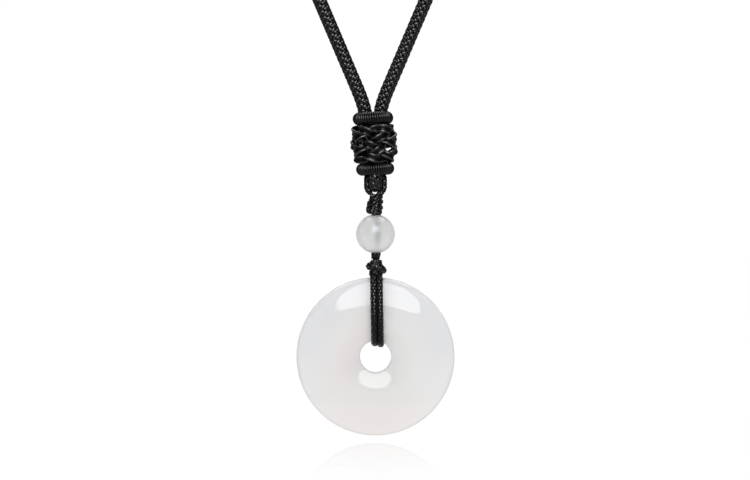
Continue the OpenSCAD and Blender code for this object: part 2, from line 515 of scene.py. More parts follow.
@dataclass(frozen=True)
class Braid:
    """Braid of shiny yarns: one repeat is modelled, arrayed and laid along a path.

    The repeat is the distance between two yarns that lie over the rest. Plump,
    broad and long are half of a yarn's thickness, width and length, as shares of
    the braid's radius, the yarn's way across and its reach. The yarns go round at
    a share way_r of the radius, and filled is half of the dark middle's share of
    the width.
    """

    width: float
    thick: float
    repeat: float
    yarns: int = 3
    plump: float = 0.38
    detail: tuple[int, int] = (8, 6)
    broad: float = 0.55
    long: float = 0.46
    way_r: float = 0.88
    filled: float = 0.33

    def yarn(self, hand: Hand, step_m: float) -> Piece:
        """The stretch of one yarn that lies over the others.

        Args:
            hand: The way in which the yarn leans.
            step_m: The real distance of two repeats.

        Returns:
            The stretch, on top of a braid that lies along X.
        """
        r = self.width * MM / 2
        half_t = self.plump * r
        around = self.way_r * r * math.tau / self.yarns
        lean = hand.value * math.atan2(around, step_m)
        segments, rings = self.detail
        bpy.ops.mesh.primitive_uv_sphere_add(segments=segments, ring_count=rings, radius=1.0)
        piece = rename(bpy.context.object, "yarn")
        sine, cosine = math.sin(lean), math.cos(lean)
        across = Vector((-sine, cosine, 0)) * self.broad * step_m * abs(sine)
        along = Vector((cosine, sine, 0)) * self.long * math.hypot(around, step_m)
        shape = Matrix((across, (0, 0, half_t), along)).transposed().to_4x4()
        over = Matrix.Translation((0, 0, r - half_t))
        if hand is Hand.RIGHT:
            turn = Matrix.Rotation(math.pi / self.yarns, 4, "X")
            over = Matrix.Translation((step_m / 2, 0, 0)) @ turn @ over
        piece.data.transform(over @ shape)
        return piece

    def lay(self, points: Path, closed: bool) -> Piece:
        """Lays the braid along a path.

        Args:
            points: The path.
            closed: Whether the braid is a loop.

        Returns:
            The braid with its filled middle, as one piece.
        """
        length_m = travelled(points, closed)[-1] * MM
        count = max(2, round(length_m / (self.repeat * MM)))
        step_m = length_m / count
        piece = join([self.yarn(Hand.LEFT, step_m), self.yarn(Hand.RIGHT, step_m)])
        repeat(piece, self.yarns, Matrix.Rotation(math.tau / self.yarns, 4, "X"))
        in_pairs = Matrix.Rotation(math.pi / 2 / self.yarns, 4, "X")
        place(piece, Matrix.Diagonal((1, 1, self.thick / self.width, 1)) @ in_pairs)
        repeat(piece, count if closed else count - 1, Matrix.Translation((step_m, 0, 0)))
        if not closed:
            place(piece, Matrix.Translation((step_m / 4, 0, 0)))
        rail = self.rail(points, closed)
        bend = piece.modifiers.new("lay", "CURVE")
        bend.object = rail
        bend.deform_axis = "POS_X"
        apply_modifier(piece)
        bpy.data.objects.remove(rail)
        wide = Vector((1, 0.02, 0.01)) if self.thick < self.width else Vector((1, 1, 1))
        section = oval(self.filled * self.width, self.filled * self.thick, 8)
        return join([piece, tube(points, section, closed, lambda i: wide)])

    def hang(self, x: float, depth: float, ends: Span) -> Piece:
        """Lays the braid straight down between two heights."""
        points = [HANGING.at(x, depth, z) for z in ends]
        return self.lay(evenly(points, STEP, False), False)

    def rail(self, points: Path, closed: bool) -> Piece:
        """Curve that the arrayed repeats follow.

        Args:
            points: The path.
            closed: Whether the path is a loop.

        Returns:
            The curve.
        """
        data = bpy.data.curves.new("rail", "CURVE")
        data.dimensions = "3D"
        data.use_deform_bounds = False
        data.twist_mode = "MINIMUM"
        spline = data.splines.new("POLY")
        spline.points.add(len(points) - 1)
        for point, at in zip(spline.points, points):
            point.co = (*(at * MM), 1.0)
        spline.use_cyclic_u = closed
        return linked(bpy.data.objects.new("rail", data))


@dataclass
class NeckCord(Part):
    """Braided neck cord, one loop through the sleeve and round the neck."""

    braid: Braid = Braid(2.96, 2.96, 1.3, yarns=5, plump=0.3, detail=(6, 4))

    node, kind = "neck_cord", "braid"
    body, slot = Body.NECKLACE, Slot.BRAIDED_CORD

    def shape(self) -> Piece:
        """Lays the braid along the cord's route."""
        return self.braid.lay(HANGING.route(), True)


@dataclass
class WoundRing(Part):
    """Ring of thin cord wound round the sleeve's end, which leaves an opening for the legs.

    Its middle lies z over the swing's axis. The thin cord wraps round the section,
    each turn slanted by some degrees and tucked in at the opening.
    """

    node: str
    width: float
    height: float
    z: float
    wraps: int
    bore_r: float = 2.72
    slant: float = 5.0
    inset: float = 0.1
    tuck: float = 0.2

    kind = "winding"
    body, slot = Body.NECKLACE, Slot.WOUND_CORD

    def wrap(self) -> Piece:
        """One turn of thin cord round the ring's section.

        Returns:
            The turn, at the right of a ring round Z.
        """
        middle = (self.width - self.height) / 2
        wire = math.pi * (self.width / 2 - self.inset) / self.wraps
        loop = self.height / 2 - wire
        bpy.ops.mesh.primitive_torus_add(
            major_segments=20, minor_segments=6, major_radius=loop * MM, minor_radius=wire * MM
        )
        piece = rename(bpy.context.object, "wrap")
        bpy.ops.object.mode_set(mode="EDIT")
        bpy.ops.mesh.select_all(action="DESELECT")
        bpy.ops.object.mode_set(mode="OBJECT")
        for vertex in piece.data.vertices:
            vertex.select = vertex.co.x < -0.01 * MM
        bpy.ops.object.mode_set(mode="EDIT")
        squeeze = (middle - self.bore_r - wire * self.tuck) / (loop + wire)
        bpy.ops.transform.resize(value=(squeeze, 1, 1), center_override=(0, 0, 0))
        bpy.ops.object.mode_set(mode="OBJECT")
        slanted = Matrix.Rotation(math.radians(self.slant), 4, "X")
        upright = slanted @ Matrix.Rotation(math.pi / 2, 4, "X")
        return place(piece, Matrix.Translation((middle * MM, 0, 0)) @ upright)

    def shape(self) -> Piece:
        """Winds the ring."""
        piece = repeat(self.wrap(), self.wraps, Matrix.Rotation(math.tau / self.wraps, 4, "Z"))
        return place(piece, HANGING.in_sleeve(self.z))


@dataclass
class WovenSleeve(Part):
    """Sleeve woven from one satin cord that passes over and under itself.

    The radius of the cord's middle line is given at half height, and its bends
    drop inwards from it at the top and the bottom. The wave is how far it goes
    over and under, evened the part of its rise that evens out the weave, and
    tilt the share of its slope by which it tilts under its neighbour, as soon
    as dive says. Each row of waves is a harmonic of the over and under and its
    height, flattened under a crest, and the slope is taken over a probe to each
    side, in radians. Each row of parted is a gap that shows: its sideways place,
    height and reach.
    """

    turns: int = 6
    bends: int = 5
    radius: float = 3.95
    drop_top: float = 0.55
    drop_bottom: float = 0.85
    least_r: float = 3.0
    wave: float = 0.7
    rise: float = 3.15
    evened: float = 0.25
    half_w: float = 0.86
    rim_r: float = 0.27
    web: float = 0.1
    tilt: float = 0.55
    dive: float = 1.3
    crest: float = 1.19
    probe: float = 0.002
    waves: tuple[Span, ...] = ((1, 0.0893), (3, 0.3333), (5, 1.244))
    parted: tuple[Triple, ...] = ((2.75, -1.08, 1.1), (-2.5, 0.73, 1.15))

    node, kind = "woven_sleeve", "cord"
    body, slot = Body.NECKLACE, Slot.SATIN_CORD

    def over_under(self, t: float) -> float:
        """Over and under at t radians along: 1 outside and -1 inside at the crossings, in turn."""
        wave = sum(share * math.sin(k * self.bends * t) for k, share in self.waves)
        return self.crest * wave / (1 + wave**4) ** 0.25

    def middle(self, t: float) -> Vector:
        """Point of the cord's middle line, counted from the sleeve's middle.

        Args:
            t: The place along the cord, in radians.

        Returns:
            The point.
        """
        z = (self.rise - self.evened) * math.cos(self.bends * t)
        z += self.evened * math.cos(3 * self.bends * t)
        drop = self.drop_top if z > 0 else self.drop_bottom
        r = self.radius - drop * (z / self.rise) ** 2 + self.wave * self.over_under(t)
        at = Vector((r * math.cos(self.turns * t), r * math.sin(self.turns * t), z))
        for x, height, reach in self.parted:
            off = Vector((at.x - x, 0, at.z - height))
            far = (off.length**4 + reach**4) ** 0.25
            at += off * (far / max(off.length, 0.05) - 1)
        push = max(1.0, self.least_r / math.hypot(at.x, at.y))
        return Vector((at.x * push, at.y * push, at.z))

    def across(self, t: float) -> Vector:
        """Direction of the cord's width, tilted where it dives under its neighbour.

        Args:
            t: The place along the cord, in radians.

        Returns:
            The direction, of length 1.
        """
        low, high = t - self.probe, t + self.probe
        step = self.middle(high) - self.middle(low)
        along = step.normalized()
        at = self.middle(t)
        flat = Vector((at.x, at.y, 0)).cross(along).normalized()
        slope = self.wave * (self.over_under(high) - self.over_under(low)) / step.length
        under = max(-1.0, min(1.0, -self.dive * math.sin(self.bends * t)))
        tilt = math.atan(self.tilt * slope * under)
        return flat * math.cos(tilt) + along.cross(flat) * math.sin(tilt)

    def section(self) -> list[Span]:
        """Section of the flat cord with its rolled edges.

        Returns:
            The section's offsets along its width and its thickness.
        """
        turns = [math.radians(turn) for turn in range(-120, 121, 30)]
        middle = self.half_w - self.rim_r
        right = [(middle + self.rim_r * math.cos(turn), self.rim_r * math.sin(turn)) for turn in turns]
        left = [(-x, y) for x, y in right[::-1]]
        return right + [(0.0, self.web)] + left + [(0.0, -self.web)]

    def shape(self) -> Piece:
        """Weaves the sleeve.

        Returns:
            The sleeve, between the rings.
        """
        shares = [math.tau * i / 720 for i in range(720)]
        across = [self.across(t) for t in shares]
        points = relax([self.middle(t) for t in shares], 6, lambda p: True)
        piece = tube(points, self.section(), True, lambda i: across[i])
        z = HANGING.sleeve_bottom + HANGING.lower_ring_h + HANGING.weave_h / 2
        return place(piece, HANGING.in_sleeve(z))


# Thread


@dataclass
class HangerLoop(Part):
    """Loop of braided thread through the bend of the neck cord."""

    braid: Braid = Braid(1.14, 1.14, 1.3)
    knot_top: float = -3.745
    step: float = 0.15

    node, kind = "hanger_loop", "thread"
    body, slot = Body.DROP, Slot.THREAD

    def shape(self) -> Piece:
        """Lays the thread from the knot over the bend and back.

        Returns:
            The loop.
        """
        r = HANGING.bend_r
        side = [(0.5, self.knot_top - 0.5), (0.72, self.knot_top + 0.1), (1.05, self.knot_top + 0.45)]
        side += [(1.38, -2.92), (1.64, -2.45), (1.74, -2.0)]
        over_bend = ((1, -0.6), (1, -0.2), (0.94, 0.02), (0.75, 0.1), (0.4, 0.06))
        side += [(x * r, z * r) for x, z in over_bend]
        right = [HANGING.at(x, 0, z) for x, z in side]
        left = [HANGING.at(-x, 0, z) for x, z in side]
        ends = right + [HANGING.axis_at] + left[::-1]
        path = smooth_path([ends[0]] + ends + [ends[-1]], 8)
        return self.braid.lay(evenly(path, self.step, False), False)


@dataclass(frozen=True)
class Wrap:
    """One turn of thread round a knot.

    Args:
        at: Its middle, counted from the swing's axis.
        reach: Its radius to the sides.
        depth: Its radius to the front and the back.
        roll: How far it falls to the right, in degrees.
        step: The distance of its points.
    """

    at: Triple
    reach: float
    depth: float
    roll: float
    step: float = 0.16

    def route(self) -> list[Vector]:
        """Closed middle line of the turn.

        Returns:
            The line's points.
        """
        turn = Matrix.Rotation(math.radians(self.roll), 3, "Y")
        angles = [math.tau * i / 48 for i in range(48)]
        flat = [Vector((self.reach * math.cos(a), self.depth * math.sin(a), 0)) for a in angles]
        ring = [HANGING.at(*(Vector(self.at) + turn @ point)) for point in flat]
        return evenly(ring, self.step, True)


@dataclass
class ThreadKnot(Part):
    """Knot of braided thread: turns of thread round the strands in its middle.

    The core is the strands' top and bottom, and middle their sideways place. Each
    row of strands is a strand's own sideways place and depth.
    """

    node: str
    core: Span
    middle: float
    wraps: tuple[Wrap, ...]
    strands: tuple[Span, ...] = ((-0.45, 0.0), (0.45, 0.0), (0.0, -0.2))
    braid: Braid = Braid(1.4, 1.4, 1.45)

    kind = "thread"
    body, slot = Body.DROP, Slot.THREAD

    def shape(self) -> Piece:
        """Ties the knot.

        Returns:
            The turns and the strands in the middle, as one piece.
        """
        parts = [self.braid.lay(wrap.route(), True) for wrap in self.wraps]
        core = [self.braid.hang(self.middle + x, depth, self.core) for x, depth in self.strands]
        return join(parts + core)


@dataclass
class BeadThread(Part):
    """Two strands pressed together through the bead, down to the lower knot."""

    ends: Span = (-7.6, -17.8)
    apart: float = 0.33
    middle: float = 0.1
    braid: Braid = Braid(1.12, 1.1, 1.3)

    node, kind = "bead_thread", "strands"
    body, slot = Body.DROP, Slot.THREAD

    def shape(self) -> Piece:
        """Lays both strands."""
        sides = (self.middle - self.apart, self.middle + self.apart)
        return join([self.braid.hang(x, 0, self.ends) for x in sides])


# Stones


@dataclass
class DiscSection:
    """Section of the ring disc: a wide arc between the rounded rim and hole edges.

    The peak is the distance of its highest place from the disc's middle.
    """

    disc_r: float = 16.25
    hole_r: float = 3.2
    half_thick: float = 2.8
    peak: float = 8.75
    rim_edge: float = 1.5
    hole_edge: float = 0.5

    @property
    def rim_x(self) -> float:
        """Distance of the rim arc's middle from the disc's middle."""
        return self.disc_r - self.rim_edge

    @property
    def hole_x(self) -> float:
        """Distance of the hole arc's middle from the disc's middle."""
        return self.hole_r + self.hole_edge

    @property
    def face_r(self) -> float:
        """Radius of the wide arc."""
        reach = (self.rim_x - self.peak) ** 2 + self.half_thick**2 - self.rim_edge**2
        return reach / (2 * (self.half_thick - self.rim_edge))

    @property
    def rim_angle(self) -> float:
        """Lean of the face where it meets the rim arc, in degrees."""
        return math.degrees(math.asin((self.rim_x - self.peak) / (self.face_r - self.rim_edge)))

    @property
    def hole_angle(self) -> float:
        """Lean of the face where it meets the hole arc, in degrees."""
        return math.degrees(math.asin((self.peak - self.hole_x) / (self.face_r - self.hole_edge)))

    @property
    def hole_z(self) -> float:
        """Height of the hole arc's middle over the disc's middle plane."""
        rise = (self.face_r - self.hole_edge) * math.cos(math.radians(self.hole_angle))
        return rise - self.face_r + self.half_thick

    def face_point(self, angle: float, off: float = 0.0) -> Span:
        """Point of the front face whose normal leans by an angle.

        Args:
            angle: The lean in degrees, from -90 at the hole to 90 at the rim.
            off: Distance of the point off the face.

        Returns:
            Distance from the disc's middle, and height over its middle plane.
        """
        x, z, radius = self.peak, self.half_thick - self.face_r, self.face_r
        if angle > self.rim_angle:
            x, z, radius = self.rim_x, 0.0, self.rim_edge
        elif angle < -self.hole_angle:
            x, z, radius = self.hole_x, self.hole_z, self.hole_edge
        lean = math.radians(angle)
        return x + (radius + off) * math.sin(lean), z + (radius + off) * math.cos(lean)


SECTION = DiscSection()


@dataclass
class DiscStrand(Part):
    """One of the two strands that hold the disc, side by side.

    The side is -1 for the left one and 1 for the right one. The pitch is the
    distance of their middles, and x_top and x_hole are the pair's sideways places
    at the knot and in the hole. The strand's middle has a point at each of the
    leans of the stone's face, in degrees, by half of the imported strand's thickness
    and a gap off the stone.
    """

    node: str
    side: int
    thick: float = 0.9
    pitch: float = 1.22
    x_top: float = 0.15
    x_hole: float = 0.42
    knot_clear: float = 0.7
    gap: float = 0.05
    leans: tuple[float, ...] = (55, 40, 26, 19, 12, 5, -2, -9, -16, -30, -50, -72, -90)
    braid: Braid = Braid(1.28, 0.96, 1.4, plump=0.31)

    kind = "braid"
    body, slot = Body.DROP, Slot.THREAD

    def way(self) -> list[Span]:
        """Way down the front into the hole.

        Returns:
            Distance from the disc's middle, and depth, of each point.
        """
        start = SECTION.disc_r + self.knot_clear
        way = [(start + 0.45, 0.35), (start - 0.12, 0.5), (SECTION.disc_r + 0.38, 0.72)]
        return way + [SECTION.face_point(lean, self.thick / 2 + self.gap) for lean in self.leans]

    def shape(self) -> Piece:
        """Lays the strand from the knot round the disc and back.

        Returns:
            The strand.
        """
        front = self.way()
        hole = SECTION.hole_r - self.thick / 2 - self.gap
        around = [(r, -depth) for r, depth in front] + [(hole, depth) for depth in (-0.8, 0.0, 0.8)]
        around += front[::-1]
        start = front[0][0]
        points = []
        for r, depth in around:
            x = self.x_top + (self.x_hole - self.x_top) * (start - r) / (start - hole)
            x += self.side * self.pitch / 2
            points.append(HANGING.at(x, depth, HANGING.disc_z + math.sqrt(r * r - x * x)))
        path = smooth_path([points[0]] + points + [points[-1]], 8)
        return self.braid.lay(evenly(path, STEP, False), False)


def spun(outline: Sequence[Span], steps: int) -> Piece:
    """Solid spun round Z from a closed outline.

    Args:
        outline: The outline's points: distance from Z, and height.
        steps: How many faces there are in a turn.

    Returns:
        The solid, closed and with its faces outwards.
    """
    bpy.ops.mesh.primitive_circle_add(vertices=len(outline), radius=1.0)
    piece = bpy.context.object
    for vertex, (r, z) in zip(piece.data.vertices, outline):
        vertex.co = (r * MM, 0, z * MM)
    bpy.ops.object.mode_set(mode="EDIT")
    bpy.ops.mesh.select_all(action="SELECT")
    bpy.ops.mesh.spin(steps=steps, angle=math.tau, center=(0, 0, 0), axis=(0, 0, 1))
    bpy.ops.mesh.select_all(action="SELECT")
    bpy.ops.mesh.remove_doubles(threshold=1e-6)
    bpy.ops.mesh.normals_make_consistent(inside=False)
    bpy.ops.object.mode_set(mode="OBJECT")
    return piece


@dataclass
class AgateDisc(Part):
    """Ring disc of milky agate, domed on both faces."""

    steps: int = 180
    hole_steps: int = 8
    face_steps: int = 40
    rim_steps: int = 10

    node, kind = "agate_disc", "stone"
    body, slot = Body.DISC, Slot.DISC_AGATE

    def shape(self) -> Piece:
        """Spins the disc.

        Returns:
            The disc, upright at its place.
        """
        stops = (-90.0, -SECTION.hole_angle, SECTION.rim_angle, 90.0)
        counts = (self.hole_steps, self.face_steps, self.rim_steps)
        leans = [a + (b - a) * i / n for a, b, n in zip(stops, stops[1:], counts) for i in range(n)]
        front = [SECTION.face_point(lean) for lean in leans + [90.0]]
        piece = spun(front + [(r, -z) for r, z in front[::-1]][1:], self.steps)
        return place(piece, HANGING.move(0, HANGING.disc_z) @ Matrix.Rotation(math.pi / 2, 4, "X"))


@dataclass
class StoneBead(Part):
    """Round drilled bead of half-clear agate.

    The lip is the width of the rounding where the bore comes out, and edge the
    width, rise and depth of the step under it.
    """

    radius: float = 4.0
    bore_r: float = 0.95
    lip: float = 0.12
    lip_share: float = 0.6
    edge: Triple = (0.03, 0.02, 0.1)
    arc_steps: int = 48
    steps: int = 96

    node, kind = "stone_bead", "agate"
    body, slot = Body.DROP, Slot.BEAD_AGATE

    def shape(self) -> Piece:
        """Spins the bead.

        Returns:
            The bead at its place.
        """
        lowest = math.asin((self.bore_r + self.lip) / self.radius)
        sweep = math.pi - 2 * lowest
        turns = [lowest + sweep * i / self.arc_steps for i in range(self.arc_steps + 1)]
        outline = [(self.radius * math.sin(turn), self.radius * math.cos(turn)) for turn in turns]
        top = outline[0][1] - self.lip * self.lip_share
        wide, rise, deep = self.edge
        outline += [(self.bore_r + wide, -top - rise), (self.bore_r, -top + deep)]
        outline += [(self.bore_r, top - deep), (self.bore_r + wide, top + rise)]
        return place(spun(outline, self.steps), HANGING.move(0, HANGING.bead_z))


# Finishes


def feed(tree: Tree, target: Socket, value: Feed) -> None:
    """Gives an input a constant, or links it to another node's output.

    Args:
        tree: The tree that both nodes are in.
        target: The input.
        value: The constant or the output.
    """
    if isinstance(value, bpy.types.NodeSocket):
        tree.links.new(value, target)
    else:
        target.default_value = value


def shine(tree: Tree, made: bpy.types.Node, **values: Feed) -> None:
    """Feeds a node's named inputs, with _ for a space in their names."""
    for name, value in values.items():
        feed(tree, made.inputs[name.replace("_", " ")], value)


def node(tree: Tree, kind: str, *feeds: Feed, **values: object) -> bpy.types.Node:
    """Adds a shader node.

    Args:
        tree: The tree that gets the node.
        kind: The node's type, without the word ShaderNode.
        feeds: Feeds for its first inputs, in their order.
        values: Its properties, and feeds for its named inputs.

    Returns:
        The new node.
    """
    made = tree.nodes.new("ShaderNode" + kind)
    for name, value in values.items():
        if hasattr(made, name):
            setattr(made, name, value)
        else:
            shine(tree, made, **{name: value})
    for target, value in zip(made.inputs, feeds):
        feed(tree, target, value)
    return made


def maths(tree: Tree, operation: str, *feeds: Feed) -> Socket:
    """Output of a Math node."""
    return node(tree, "Math", *feeds, operation=operation).outputs[0]


def ramp(
    tree: Tree, value: Feed, low: float, high: float, first: Feed = 0.0, last: Feed = 1.0
) -> Socket:
    """Output that goes from first to last while a value goes from low to high."""
    return node(tree, "MapRange", value, low, high, first, last).outputs[0]


def soft_edge(tree: Tree, value: Feed, low: float, high: float) -> Socket:
    """Output that falls softly from 1 to 0 while a value goes from low to high."""
    edge = node(tree, "MapRange", value, low, high, 1.0, 0.0, interpolation_type="SMOOTHSTEP")
    return edge.outputs[0]


def mixed(tree: Tree, share: Feed, first: Feed, second: Feed) -> Socket:
    """Colour mixed from two.

    Args:
        tree: The material's node tree.
        share: The second colour's share.
        first: The first colour.
        second: The second colour.

    Returns:
        The mixed colour.
    """
    mix = node(tree, "Mix", data_type="RGBA")
    for k, value in ((0, share), (6, first), (7, second)):
        feed(tree, mix.inputs[k], value)
    return mix.outputs[2]


def centred(tree: Tree, middle: Vector) -> Socket:
    """Object coordinates counted from a point."""
    place_at = node(tree, "TexCoord").outputs["Object"]
    return node(tree, "Mapping", place_at, Location=-middle * MM).outputs[0]


def on_face(tree: Tree, at: Socket) -> Socket:
    """Object coordinates without their depth."""
    return node(tree, "VectorMath", at, (1.0, 0.0, 1.0), operation="MULTIPLY").outputs[0]


def new_group(name: str, inputs: dict[str, str], outputs: Sequence[str]) -> Tree:
    """Empty shader node group with named sockets.

    Args:
        name: The group's name.
        inputs: Socket type of each named input.
        outputs: Names of the outputs, which are masks or heights.

    Returns:
        The group, with an input and an output node.
    """
    tree = bpy.data.node_groups.new(name, "ShaderNodeTree")
    for label, kind in inputs.items():
        tree.interface.new_socket(label, in_out="INPUT", socket_type=kind)
    for label in outputs:
        tree.interface.new_socket(label, in_out="OUTPUT", socket_type="NodeSocketFloat")
    tree.nodes.new("NodeGroupInput").name = "in"
    tree.nodes.new("NodeGroupOutput").name = "out"
    return tree


def fibre_group() -> Tree:
    """Group for fine fibres along a yarn: a height, and a mask of lighter fibres.

    Returns:
        The group.
    """
    inputs = {"UV": "NodeSocketVector", "Fibres": "NodeSocketFloat", "Length": "NodeSocketFloat"}
    tree = new_group("fine_fibres", inputs, ("Height", "Light"))
    given = tree.nodes["in"].outputs
    way = node(tree, "SeparateXYZ", given["UV"]).outputs
    wide = maths(tree, "MULTIPLY", way["X"], given["Fibres"])
    long = maths(tree, "MULTIPLY", way["Y"], given["Length"])
    grid = node(tree, "CombineXYZ", wide, long).outputs[0]
    noise = node(tree, "TexNoise", Vector=grid, Scale=1.0, Detail=2.0, Roughness=0.6).outputs["Fac"]
    shine(tree, tree.nodes["out"], Height=noise, Light=ramp(tree, noise, 0.45, 0.75))
    return tree


def cloud_group() -> Tree:
    """Group for the soft clouds inside agate: a mask of milky places and one of warm ones.

    Returns:
        The group.
    """
    inputs = {"Place": "NodeSocketVector", "Scale": "NodeSocketFloat"}
    tree = new_group("agate_clouds", inputs, ("Milk", "Warm"))
    at, scale = tree.nodes["in"].outputs["Place"], tree.nodes["in"].outputs["Scale"]
    milk = node(tree, "TexNoise", Vector=at, Scale=scale, Detail=3.0, Roughness=0.45, Distortion=0.6)
    moved = node(tree, "VectorMath", at, (3.1, 1.7, 5.3), operation="ADD").outputs[0]
    warm = node(tree, "TexNoise", Vector=moved, Scale=scale, Detail=1.0, Roughness=0.4)
    shine(tree, tree.nodes["out"], Milk=milk.outputs["Fac"], Warm=warm.outputs["Fac"])
    return tree


def new_material(name: str) -> tuple[Material, Tree, bpy.types.Node]:
    """Material with a Principled shader alone.

    Args:
        name: The material's name.

    Returns:
        The material, its node tree and its shader.
    """
    material = bpy.data.materials.new(name)
    material.use_nodes = True
    return material, material.node_tree, material.node_tree.nodes["Principled BSDF"]


@dataclass(frozen=True)
class YarnFinish:
    """Black shiny yarn or cord, with fine fibres along it.

    Fibres are counted side by side in one turn of the UV map, and length is their
    changes in one unit of V. Most are black and some are grey, more of them in
    patches. A cord with rolled edges has a coat on them, with rim_ior as its index
    of refraction, which fades into the web between two shares of half a turn.
    """

    name: str
    roughness: float
    gloss: float
    ior: float
    fibres: float
    length: float
    relief: float
    rim_ior: float = 0.0
    black: Colour = (0.001, 0.001, 0.0012, 1.0)
    grey: Colour = (0.006, 0.006, 0.0065, 1.0)
    patches: float = 900.0
    relief_m: float = 0.00005
    web: Span = (0.76, 0.84)

    def make(self, fibres: Tree) -> Material:
        """Builds the material.

        Args:
            fibres: The group of fine fibres.

        Returns:
            The material.
        """
        material, tree, shader = new_material(self.name)
        uv = node(tree, "UVMap", uv_map="UVMap").outputs[0]
        counts = {"Fibres": self.fibres, "Length": self.length}
        yarn = node(tree, "Group", node_tree=fibres, UV=uv, **counts).outputs
        place_at = node(tree, "TexCoord").outputs["Object"]
        patches = node(tree, "TexNoise", Vector=place_at, Scale=self.patches, Detail=2.0).outputs["Fac"]
        tint = mixed(tree, maths(tree, "MULTIPLY", yarn["Light"], patches), self.black, self.grey)
        bump = node(tree, "Bump", Strength=self.relief, Distance=self.relief_m, Height=yarn["Height"])
        shine(tree, shader, Base_Color=tint, Normal=bump.outputs[0], Roughness=self.roughness)
        shine(tree, shader, Specular_IOR_Level=self.gloss, IOR=self.ior)
        if self.rim_ior:
            around = node(tree, "SeparateXYZ", uv).outputs["X"]
            half = maths(tree, "FRACT", maths(tree, "MULTIPLY", around, 2.0))
            shine(tree, shader, Coat_Weight=ramp(tree, half, *self.web, 1.0, 0.0))
            shine(tree, shader, Coat_IOR=self.rim_ior, Coat_Roughness=self.roughness)
        return material


@dataclass(frozen=True)
class DiscFinish:
    """Polished milky agate of the disc, with a faint pink band and a bluish tint that is partly painted
    shade.

    Each pair of lengths is where a change starts and where it ends: heights for
    the warm foot and for the bluish tint with painted shade that grows towards the top, and distances
    from the disc's axis for the same tint and painted shade growing towards the rim, and for the
    painted shade at the hole. The band moves sideways by slope for each unit of height.
    """

    name: str = "disc_agate"
    milk: Colour = (0.8, 0.797, 0.79, 1.0)
    warm: Colour = (0.805, 0.755, 0.742, 1.0)
    bluish_tint_and_shade: Colour = (0.765, 0.769, 0.784, 1.0)
    cloud_scale: float = 90.0
    slope: float = 0.55
    band_m: float = 0.0057
    fade_m: float = 0.006
    foot_m: Span = (-0.006, -0.016)
    foot_share: float = 0.75
    rim_m: Span = (0.008, 0.015)
    rim_tint_and_shade_m: Span = (-0.011, 0.002)
    hole_m: Span = (0.004, 0.008)
    hole_shade: float = 0.97

    def make(self, clouds: Tree) -> Material:
        """Builds the material.

        Args:
            clouds: The group of clouds inside agate.

        Returns:
            The material.
        """
        material, tree, shader = new_material(self.name)
        at = centred(tree, HANGING.at(0, 0, HANGING.disc_z))
        cloud = node(tree, "Group", node_tree=clouds, Place=at, Scale=self.cloud_scale).outputs["Warm"]
        way = node(tree, "SeparateXYZ", at).outputs
        reach = node(tree, "VectorMath", on_face(tree, at), operation="LENGTH").outputs["Value"]
        lean = maths(tree, "MULTIPLY_ADD", way["Z"], -self.slope, way["X"])
        aside = maths(tree, "ADD", lean, self.band_m)
        band = soft_edge(tree, maths(tree, "ABSOLUTE", aside), 0.0, self.fade_m)
        foot = ramp(tree, way["Z"], *self.foot_m, 0.0, self.foot_share)
        pink = maths(tree, "MAXIMUM", maths(tree, "MULTIPLY", band, cloud), foot)
        # Bluish tint that grows towards the rim and the top: partly the stone's own tint, partly
        # painted shade that darkens the upper rim.
        outer = ramp(tree, reach, *self.rim_m, 0.15, 1.0)
        rim_tint_and_shade = maths(tree, "MULTIPLY", outer, ramp(tree, way["Z"], *self.rim_tint_and_shade_m))
        colour = mixed(tree, rim_tint_and_shade, mixed(tree, pink, self.milk, self.warm), self.bluish_tint_and_shade)
        shade = ramp(tree, reach, *self.hole_m, self.hole_shade, 1.0)
        shaded = node(tree, "VectorMath", colour, operation="SCALE", Scale=shade).outputs[0]
        shine(tree, shader, Base_Color=shaded, Roughness=0.02, IOR=1.54)
        shine(tree, shader, Subsurface_Weight=1.0, Subsurface_Scale=0.005, Subsurface_Radius=WHITE[:3])
        return material


